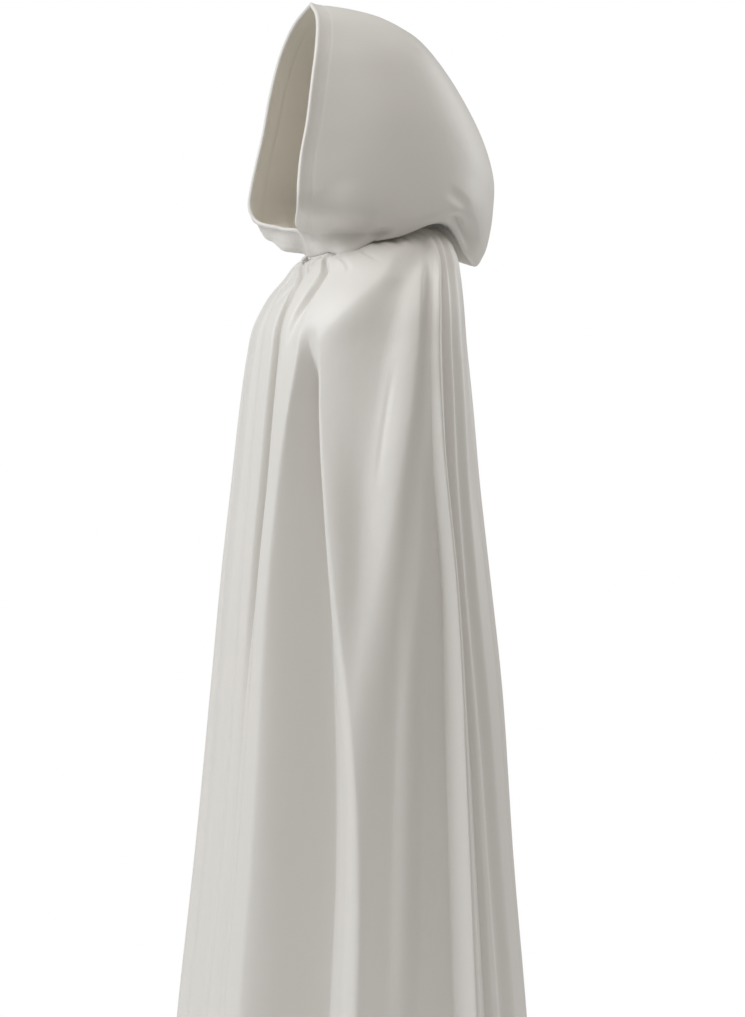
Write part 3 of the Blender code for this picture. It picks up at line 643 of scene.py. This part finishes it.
def hoodHalf(name, side, materials):
    fall = np.linspace(0.0, 1.0, hood["rows"] + 1)
    shares = np.linspace(0.0, 1.0, hood["columns"] + 1)
    first, second = np.meshgrid(shares, fall)
    width = rowWidths(hoodSurface(first, second, side))
    marks = np.array(hood["bandMarks"]) * hood["band"]
    held = np.minimum(marks[None, :] / width[:, None], hood["heldAtMost"] * marks[None, :] / marks[-1])
    first = np.concatenate([held, held[:, -1:] + (1.0 - held[:, -1:]) * shares[1:][None, :]], axis=1)
    second = np.repeat(fall[:, None], first.shape[1], axis=1)
    middle = hoodSurface(first, second, side)
    normal = normalsOf(partial(hoodSurface, side=side), first, second, panelSteps)
    place = flatPlaces(middle)
    seamDip = cape["seamDip"] * np.exp(-((1.0 - first) * width[:, None] / cape["seamWidth"]) ** 2)
    middle = middle - normal * seamDip[..., None]
    middle[:, -1, 0] = cape["seamGap"] / 2 + hood["cloth"] * hood["seamInset"]
    middle[0, :, 0] = cape["seamGap"] / 2
    away = first * width[:, None]
    doubled = 1.0 - smoothStep((away - hood["band"]) / (hood["bandFade"] * hood["band"]))
    groove = hood["bandGroove"] * np.exp(-((away - hood["band"]) / hood["grooveWidth"]) ** 2)
    bulge = hood["rimBulge"] * np.exp(-(away / hood["rimReach"]) ** 2)
    outerHalf = hood["cloth"] / 2 + bulge - groove
    innerHalf = hood["cloth"] / 2 + hood["cloth"] * doubled + bulge
    middle[..., 0] *= side
    normal[..., 0] *= side
    if side < 0:
        middle, normal, place = middle[:, ::-1], normal[:, ::-1], place[:, ::-1]
        outerHalf, innerHalf = outerHalf[:, ::-1], innerHalf[:, ::-1]
    made = clothWall(name + "Cloth", middle, normal, outerHalf, innerHalf, place, materials)
    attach(made, "root")
    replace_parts(made, name)
    return made


# Materials

satin = {
    "colour": (0.72, 0.70, 0.672),
    "shade": (0.712, 0.695, 0.664),  # the other end of the slight change of tone
    "backColour": (0.79, 0.755, 0.68),
    "roughness": 0.43,
    "backRoughness": 0.62,
    "glossSpread": (-0.05, 0.07),  # how far the streaks change the roughness
    "anisotropy": 0.35,
    "sheen": 0.12,
    "sheenRoughness": 0.45,
    "specular": 0.4,
    "toneScale": 3.5,
    "toneRange": (0.3, 0.7),
    "streakScale": (900.0, 14.0, 1.0),  # streaks across and down the cloth in a metre
    "streakBump": (0.5, 0.00025),  # strength and height of each relief
    "weaveThreads": 2600.0,  # threads in a metre
    "weaveBump": (0.25, 0.000012),
    "unevenScale": 26.0,
    "unevenBump": (0.5, 0.0012),
}


def nodeOf(tree, kind, values=None):
    node = tree.nodes.new(kind)
    for key, value in (values or {}).items():
        if key in node.inputs:
            node.inputs[key].default_value = value
        else:
            setattr(node, key, value)
    return node


def noiseOf(tree, place, scale, detail):  # cloudy noise read at a place
    noise = nodeOf(tree, "ShaderNodeTexNoise", {"Scale": scale, "Detail": detail, "Roughness": 0.5})
    tree.links.new(place, noise.inputs["Vector"])
    return noise.outputs["Fac"]


def bumpOf(tree, height, form, under=None):  # a relief, laid over the one under it
    bump = nodeOf(tree, "ShaderNodeBump", {"Strength": form[0], "Distance": form[1]})
    tree.links.new(height, bump.inputs["Height"])
    if under:
        tree.links.new(under, bump.inputs["Normal"])
    return bump.outputs["Normal"]


def satinMaterial(name, colour, shade, roughness, anisotropy):
    material = bpy.data.materials.new(name)
    material.use_nodes = True
    tree = material.node_tree
    link = tree.links.new
    shader = tree.nodes["Principled BSDF"]
    place = nodeOf(tree, "ShaderNodeUVMap", {"uv_map": "flatCloth"}).outputs["UV"]
    # a slight change of tone over the cloth
    where = nodeOf(tree, "ShaderNodeTexCoord").outputs["Object"]
    low, high = satin["toneRange"]
    spread = nodeOf(tree, "ShaderNodeMapRange", {"From Min": low, "From Max": high})
    link(noiseOf(tree, where, satin["toneScale"], 3.0), spread.inputs["Value"])
    tone = nodeOf(tree, "ShaderNodeMix", {"data_type": "RGBA"})
    tone.inputs[6].default_value = (*shade, 1.0)  # the node's two colours
    tone.inputs[7].default_value = (*colour, 1.0)
    link(spread.outputs["Result"], tone.inputs["Factor"])
    link(tone.outputs[2], shader.inputs["Base Color"])
    # fine streaks of the long floating threads
    threads = nodeOf(tree, "ShaderNodeMapping", {"Scale": satin["streakScale"]})
    link(place, threads.inputs["Vector"])
    streaks = noiseOf(tree, threads.outputs["Vector"], 1.0, 3.0)
    low, high = satin["glossSpread"]
    gloss = nodeOf(tree, "ShaderNodeMapRange", {"To Min": roughness + low, "To Max": roughness + high})
    link(streaks, gloss.inputs["Value"])
    link(gloss.outputs["Result"], shader.inputs["Roughness"])
    # the weave: at scale 1 the wave turns 20 radians in a metre, and a thread is one whole turn
    waveScale = satin["weaveThreads"] * math.pi / 10.0
    weave = nodeOf(tree, "ShaderNodeTexWave", {"bands_direction": "X", "Scale": waveScale})
    link(place, weave.inputs["Vector"])
    relief = bumpOf(tree, weave.outputs["Fac"], satin["weaveBump"])
    relief = bumpOf(tree, streaks, satin["streakBump"], relief)
    # the slight unevenness of pressed cloth
    relief = bumpOf(tree, noiseOf(tree, place, satin["unevenScale"], 2.0), satin["unevenBump"], relief)
    link(relief, shader.inputs["Normal"])
    shader.inputs["Specular IOR Level"].default_value = satin["specular"]
    shader.inputs["Anisotropic"].default_value = anisotropy
    shader.inputs["Sheen Weight"].default_value = satin["sheen"]
    shader.inputs["Sheen Roughness"].default_value = satin["sheenRoughness"]
    return material


outside = (satin["colour"], satin["shade"], satin["roughness"], satin["anisotropy"])
inside = (satin["backColour"], satin["backColour"], satin["backRoughness"], 0.0)
satinFace = satinMaterial("satinFace", *outside)
satinReverse = satinMaterial("satinReverse", *inside)
bothSides = [satinFace, satinReverse]
print("materials: made")

frontLeft = capePanel("front_left", leftFront, 1, (-1,), True, bothSides)
frontRight = capePanel("front_right", rightFront, -1, (-1,), True, bothSides)
back = capePanel("back", backPanel, 1, (0, -1), False, bothSides)
capePieces = (frontLeft, frontRight, back)
print("cape: three panels, areas", [round(clothArea(piece), 3) for piece in capePieces])
hoodLeft = hoodHalf("hood_left", 1, bothSides)
hoodRight = hoodHalf("hood_right", -1, bothSides)
print("hood: two halves, areas", [round(clothArea(piece), 3) for piece in (hoodLeft, hoodRight)])

# The covered button and its loop

closure = {
    "angle": gathers["buttonAngle"],
    "down": 0.019,
    "seat": 0.75,  # how far over the middle of the cloth the shank stands, in thicknesses
    "radius": 0.0058,
    "shankRadius": 0.0018,
    "shankHeight": 0.0030,
    "underRim": 0.0002,  # how far below the shank's top the rim begins
    # share of the radius, and height above the shank
    "cap": (
        (0.80, -0.0002), (0.95, 0.0003), (1.0, 0.0010), (0.97, 0.0019),
        (0.86, 0.0028), (0.62, 0.0036), (0.30, 0.0041),
    ),
    "capHeight": 0.0042,
    "segments": 60,
    "pleats": 20,  # small pleats of the cover under its rim
    "pleatDepth": 0.05,
    "loopRadius": 0.0011,
    "loopLength": 0.0155,
    "loopWidth": 0.0086,
    "loopPoints": 150,
    "loopRing": 14,
    "loopTwists": 22,
    "plyDepth": 0.08,  # how far the two plies stand out, as a share of the radius
}


def closurePlace():
    angle, down = np.array(closure["angle"]), np.array(closure["down"])
    outwards = normalsOf(capeSurface, angle, down, ringSteps)
    across = ringPoint(angle - ringSteps[0], down) - ringPoint(angle + ringSteps[0], down)
    across = across - outwards * np.dot(across, outwards)
    across = across / np.linalg.norm(across)
    place = capeSurface(angle, down) + outwards * (closure["seat"] * cape["cloth"] + cape["seamGap"])
    return place, across, np.cross(outwards, across), outwards


def meshOf(name, points, faces, material):
    mesh = bpy.data.meshes.new(name)
    mesh.from_pydata([tuple(point) for point in points], [], faces)
    mesh.materials.append(material)
    mesh.shade_smooth()
    uses = mesh.uv_layers.new(name="flatCloth").uv
    for loop, use in zip(mesh.loops, uses):
        spot = mesh.vertices[loop.vertex_index].co
        use.vector = (spot.x, spot.z)
    made = bpy.data.objects.new(name, mesh)
    bpy.context.collection.objects.link(made)
    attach(made, "root")
    return made


def ringFaces(rings, segments, close):
    faces = []
    for ring in range(rings if close else rings - 1):
        for k in range(segments):
            here, beside = ring * segments + k, ring * segments + (k + 1) % segments
            above = ((ring + 1) % rings - ring) * segments
            faces.append((here, beside, beside + above, here + above))
    return faces


def makeButton():
    place, across, upwards, outwards = closurePlace()
    shank, top = closure["shankRadius"], closure["shankHeight"]
    outline = [(shank, 0.0), (shank, top - closure["underRim"])]
    outline += [(closure["radius"] * share, top + height) for share, height in closure["cap"]]
    points = []
    for level, (radius, height) in enumerate(outline):
        pleat = closure["pleatDepth"] if level in (2, 3) else 0.0
        for k in range(closure["segments"]):
            turn = 2 * math.pi * k / closure["segments"]
            reach = radius * (1.0 - pleat * (0.5 + 0.5 * math.cos(closure["pleats"] * turn)))
            spoke = math.cos(turn) * across + math.sin(turn) * upwards
            points.append(place + reach * spoke + height * outwards)
    faces = ringFaces(len(outline), closure["segments"], False)
    last = (len(outline) - 1) * closure["segments"]
    foot = len(points)
    points.append(place)
    points.append(place + (top + closure["capHeight"]) * outwards)
    for k in range(closure["segments"]):
        beside = (k + 1) % closure["segments"]
        faces.append((foot, beside, k))
        faces.append((foot + 1, last + k, last + beside))
    return meshOf("neckButtonCover", points, faces, satinFace)


def makeLoop():
    place, across, upwards, outwards = closurePlace()
    radius = closure["loopRadius"]
    count, segments = closure["loopPoints"], closure["loopRing"]
    points = []
    clear = closure["shankRadius"] + radius + cape["seamGap"]
    for k in range(count):
        turn = 2 * math.pi * k / count
        reach = closure["loopLength"] / 2 * (1.0 + math.cos(turn)) - clear
        spread = closure["loopWidth"] / 2 * math.sin(turn)
        middle = place + outwards * (radius + cape["seamGap"]) + reach * across + spread * upwards
        aside = closure["loopWidth"] / 2 * math.cos(turn) * across
        aside = aside + closure["loopLength"] / 2 * math.sin(turn) * upwards
        aside = aside / np.linalg.norm(aside)
        for j in range(segments):
            spin = 2 * math.pi * j / segments
            ply = 1.0 + closure["plyDepth"] * math.cos(2 * spin - closure["loopTwists"] * turn)
            spoke = math.cos(spin) * aside + math.sin(spin) * outwards
            points.append(middle + radius * ply * spoke)
    return meshOf("neckLoopCord", points, ringFaces(count, segments, True), satinFace)


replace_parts(makeButton(), "neck_button")
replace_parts(makeLoop(), "neck_loop")
print("closure: button and loop made")


# Stitches: fine rows that hold the turned edges

stitches = {
    "length": 0.0042,
    "gap": 0.0016,
    "radius": 0.00022,
    "sides": 5,
    # rings of one stitch: share of its length, then lift and width in radii
    "form": ((0.0, -0.4, 0.0), (0.12, 0.5, 0.9), (0.5, 0.9, 1.0), (0.88, 0.5, 0.9), (1.0, -0.4, 0.0)),
    "hemShare": 0.88,  # how far up the turned hem the row runs
    "openingShare": 0.84,
    "hoodShare": 0.86,
    # where each row starts and ends, and the points that its path is drawn with
    "hemRun": (0.004, 0.996, 1400),
    "openingRun": (0.03, capeLength - 1.3 * cape["hemBand"], 700),
    "hoodRun": (0.02, 0.96, 400),
    "openingColumns": 240,  # points across a panel, to find its width
    "hoodColumns": 160,
    "colour": (0.74, 0.72, 0.67, 1.0),
    "roughness": 0.5,
}


def threadMaterial():
    material = bpy.data.materials.new("ivoryThread")
    material.use_nodes = True
    shader = material.node_tree.nodes["Principled BSDF"]
    shader.inputs["Base Color"].default_value = stitches["colour"]
    shader.inputs["Roughness"].default_value = stitches["roughness"]
    return material


def alongPath(reached, values, distance):  # values of a path's points, read at a distance along it
    return np.stack([np.interp(distance, reached, values[:, k]) for k in range(3)], axis=-1)


def stitchRow(name, path, normal, slot):
    steps = np.linalg.norm(np.diff(path, axis=0), axis=-1)
    reached = np.concatenate([[0.0], np.cumsum(steps)])
    pitch = stitches["length"] + stitches["gap"]
    starts = np.arange(pitch, reached[-1] - pitch, pitch)
    radius, sides = stitches["radius"], stitches["sides"]
    places = [starts + share * stitches["length"] for share, _, _ in stitches["form"]]
    spots = [alongPath(reached, path, place) for place in places]
    ways = [alongPath(reached, normal, place) for place in places]
    along = spots[-1] - spots[0]
    along = along / np.linalg.norm(along, axis=-1, keepdims=True)
    corners = []
    for spot, way, (_, lift, wide) in zip(spots, ways, stitches["form"]):
        aside = np.cross(along, way)
        for k in range(sides if wide else 1):  # a stitch ends in a single point
            turn = 2 * math.pi * k / sides
            spoke = math.cos(turn) * aside + math.sin(turn) * way
            corners.append(spot + radius * lift * way + radius * wide * spoke)
    grid = np.stack(corners, axis=1)
    size = grid.shape[1]
    lastRing = size - 1 - sides
    pattern = []
    for k in range(sides):
        beside = (k + 1) % sides
        pattern.append((0, 1 + k, 1 + beside))
        for ring in range(1, lastRing, sides):
            pattern.append((ring + k, ring + sides + k, ring + sides + beside, ring + beside))
        pattern.append((size - 1, lastRing + beside, lastRing + k))
    faces = [tuple(corner + n * size for corner in face) for n in range(len(starts)) for face in pattern]
    return meshOf(name, grid.reshape(-1, 3), faces, thread)


def surfaceLine(surface, facing, first, second):
    normal = normalsOf(surface, first, second, panelSteps) * facing
    return surface(first, second) + normal * cape["cloth"] / 2, normal


def shareAcross(surface, distance, down, columns):  # where a line that far from the edge runs
    first, second = np.meshgrid(np.linspace(0.0, 1.0, columns), down)
    return distance / rowWidths(surface(first, second))


thread = threadMaterial()
hemLine = capeLength - stitches["hemShare"] * cape["hemBand"]
openingLine = stitches["openingShare"] * cape["openingBand"]
hoodLine = stitches["hoodShare"] * hood["band"]
panels = (("frontLeft", leftFront, 1), ("frontRight", rightFront, -1), ("back", backPanel, 1))
for name, surface, facing in panels:
    shares = np.linspace(*stitches["hemRun"])
    row = surfaceLine(surface, facing, shares, np.full_like(shares, hemLine))
    stitchRow(name + "HemStitch", *row, "cape_satin")
    if surface is backPanel:
        continue
    down = np.linspace(*stitches["openingRun"])
    aside = shareAcross(surface, openingLine, down, stitches["openingColumns"])
    stitchRow(name + "OpeningStitch", *surfaceLine(surface, facing, aside, down), "cape_satin")
for name, side in (("hoodLeft", 1), ("hoodRight", -1)):
    half = partial(hoodSurface, side=side)
    fall = np.linspace(*stitches["hoodRun"])
    path, normal = surfaceLine(half, 1, shareAcross(half, hoodLine, fall, stitches["hoodColumns"]), fall)
    mirror = np.array([side, 1.0, 1.0])
    stitchRow(name + "EdgeStitch", path * mirror, normal * mirror, "hood_satin")
print("stitches: hem, opening and hood edge sewn")


# Floor, light and camera

studio = {
    "floorDrop": 0.02,  # how far the floor lies below the hem
    "floorRadius": 2.4,
    "floorSides": 96,
    "floorColour": (0.86, 0.86, 0.86, 1.0),
    "floorRoughness": 0.9,
    "floorGlow": 0.2,
    "white": (1.0, 1.0, 1.0, 1.0),
    "daylight": 0.30,  # soft light from all round
    "daylightColour": (1.0, 0.955, 0.885, 1.0),
    # azimuth, elevation, distance from what they shine on, side of the panel, power and colour
    "lights": {
        "keyLight": (-10.0, 36.0, 4.5, 2.6, 140.0, (0.95, 0.975, 1.0)),
        "farLight": (192.0, 25.0, 5.0, 3.0, 92.0, (0.97, 0.985, 1.0)),
        "topLight": (76.0, 62.0, 2.3, 1.2, 10.0, (1.0, 0.985, 0.96)),
    },
    "lightTarget": (0.0, 0.0, -0.5),
    "distance": 6.0,  # from the camera to the garment
    "azimuth": 70.0,
    "metresInPixel": 0.00148,
    "frame": (745, 1017),
    "originPixel": (362, 256),
    "sensor": 36.0,
}


def makeFloor():
    radius, sides = studio["floorRadius"], studio["floorSides"]
    turns = [2 * math.pi * k / sides for k in range(sides)]
    height = cadBounds[0].z - studio["floorDrop"]
    points = [(radius * math.cos(turn), radius * math.sin(turn), height) for turn in turns]
    mesh = bpy.data.meshes.new("floor")
    mesh.from_pydata(points, [], [tuple(range(sides))])
    material = bpy.data.materials.new("paleFloor")
    material.use_nodes = True
    shader = material.node_tree.nodes["Principled BSDF"]
    shader.inputs["Base Color"].default_value = studio["floorColour"]
    shader.inputs["Roughness"].default_value = studio["floorRoughness"]
    shader.inputs["Emission Color"].default_value = studio["white"]
    shader.inputs["Emission Strength"].default_value = studio["floorGlow"]
    mesh.materials.append(material)
    floor = bpy.data.objects.new("floor", mesh)
    bpy.context.collection.objects.link(floor)


def makeCamera():
    turn = math.radians(studio["azimuth"])
    away = Vector((math.sin(turn), -math.cos(turn), 0.0))
    right = Vector((math.cos(turn), math.sin(turn), 0.0))
    wide, tall = studio["frame"]
    size = studio["metresInPixel"]
    aside = (wide / 2 - studio["originPixel"][0]) * size
    lower = (tall / 2 - studio["originPixel"][1]) * size
    target = right * aside + Vector((0.0, 0.0, -lower))
    data = bpy.data.cameras.new("camera")
    data.sensor_width = studio["sensor"]
    data.lens = studio["sensor"] * studio["distance"] / (max(wide, tall) * size)
    made = bpy.data.objects.new("camera", data)
    made.location = target + away * studio["distance"]
    made.rotation_euler = away.to_track_quat("Z", "Y").to_euler()
    bpy.context.collection.objects.link(made)
    bpy.context.scene.camera = made


def lightPanel(name, azimuth, elevation, distance, side, power, colour):
    data = bpy.data.lights.new(name, "AREA")
    data.size = side
    data.energy = power
    data.color = colour
    made = bpy.data.objects.new(name, data)
    turn, lift = math.radians(azimuth), math.radians(elevation)
    way = Vector((math.sin(turn) * math.cos(lift), -math.cos(turn) * math.cos(lift), math.sin(lift)))
    made.location = Vector(studio["lightTarget"]) + way * distance
    made.rotation_euler = way.to_track_quat("Z", "Y").to_euler()
    bpy.context.collection.objects.link(made)


def makeLight():
    for name, values in studio["lights"].items():
        lightPanel(name, *values)
    world = bpy.data.worlds.new("studioWhite")
    world.use_nodes = True
    tree = world.node_tree
    seen = tree.nodes.new("ShaderNodeLightPath")  # plain white where it is seen, softer as light
    daylight = tree.nodes["Background"]
    daylight.inputs["Color"].default_value = studio["daylightColour"]
    daylight.inputs["Strength"].default_value = studio["daylight"]
    backdrop = tree.nodes.new("ShaderNodeBackground")
    backdrop.inputs["Color"].default_value = studio["white"]
    either = tree.nodes.new("ShaderNodeMixShader")
    tree.links.new(seen.outputs["Is Camera Ray"], either.inputs["Fac"])
    tree.links.new(daylight.outputs["Background"], either.inputs[1])
    tree.links.new(backdrop.outputs["Background"], either.inputs[2])
    tree.links.new(either.outputs["Shader"], tree.nodes["World Output"].inputs["Surface"])
    bpy.context.scene.world = world
    bpy.context.scene.view_settings.view_transform = "Standard"


makeFloor()
makeLight()
makeCamera()
print("studio: floor, light and camera placed")
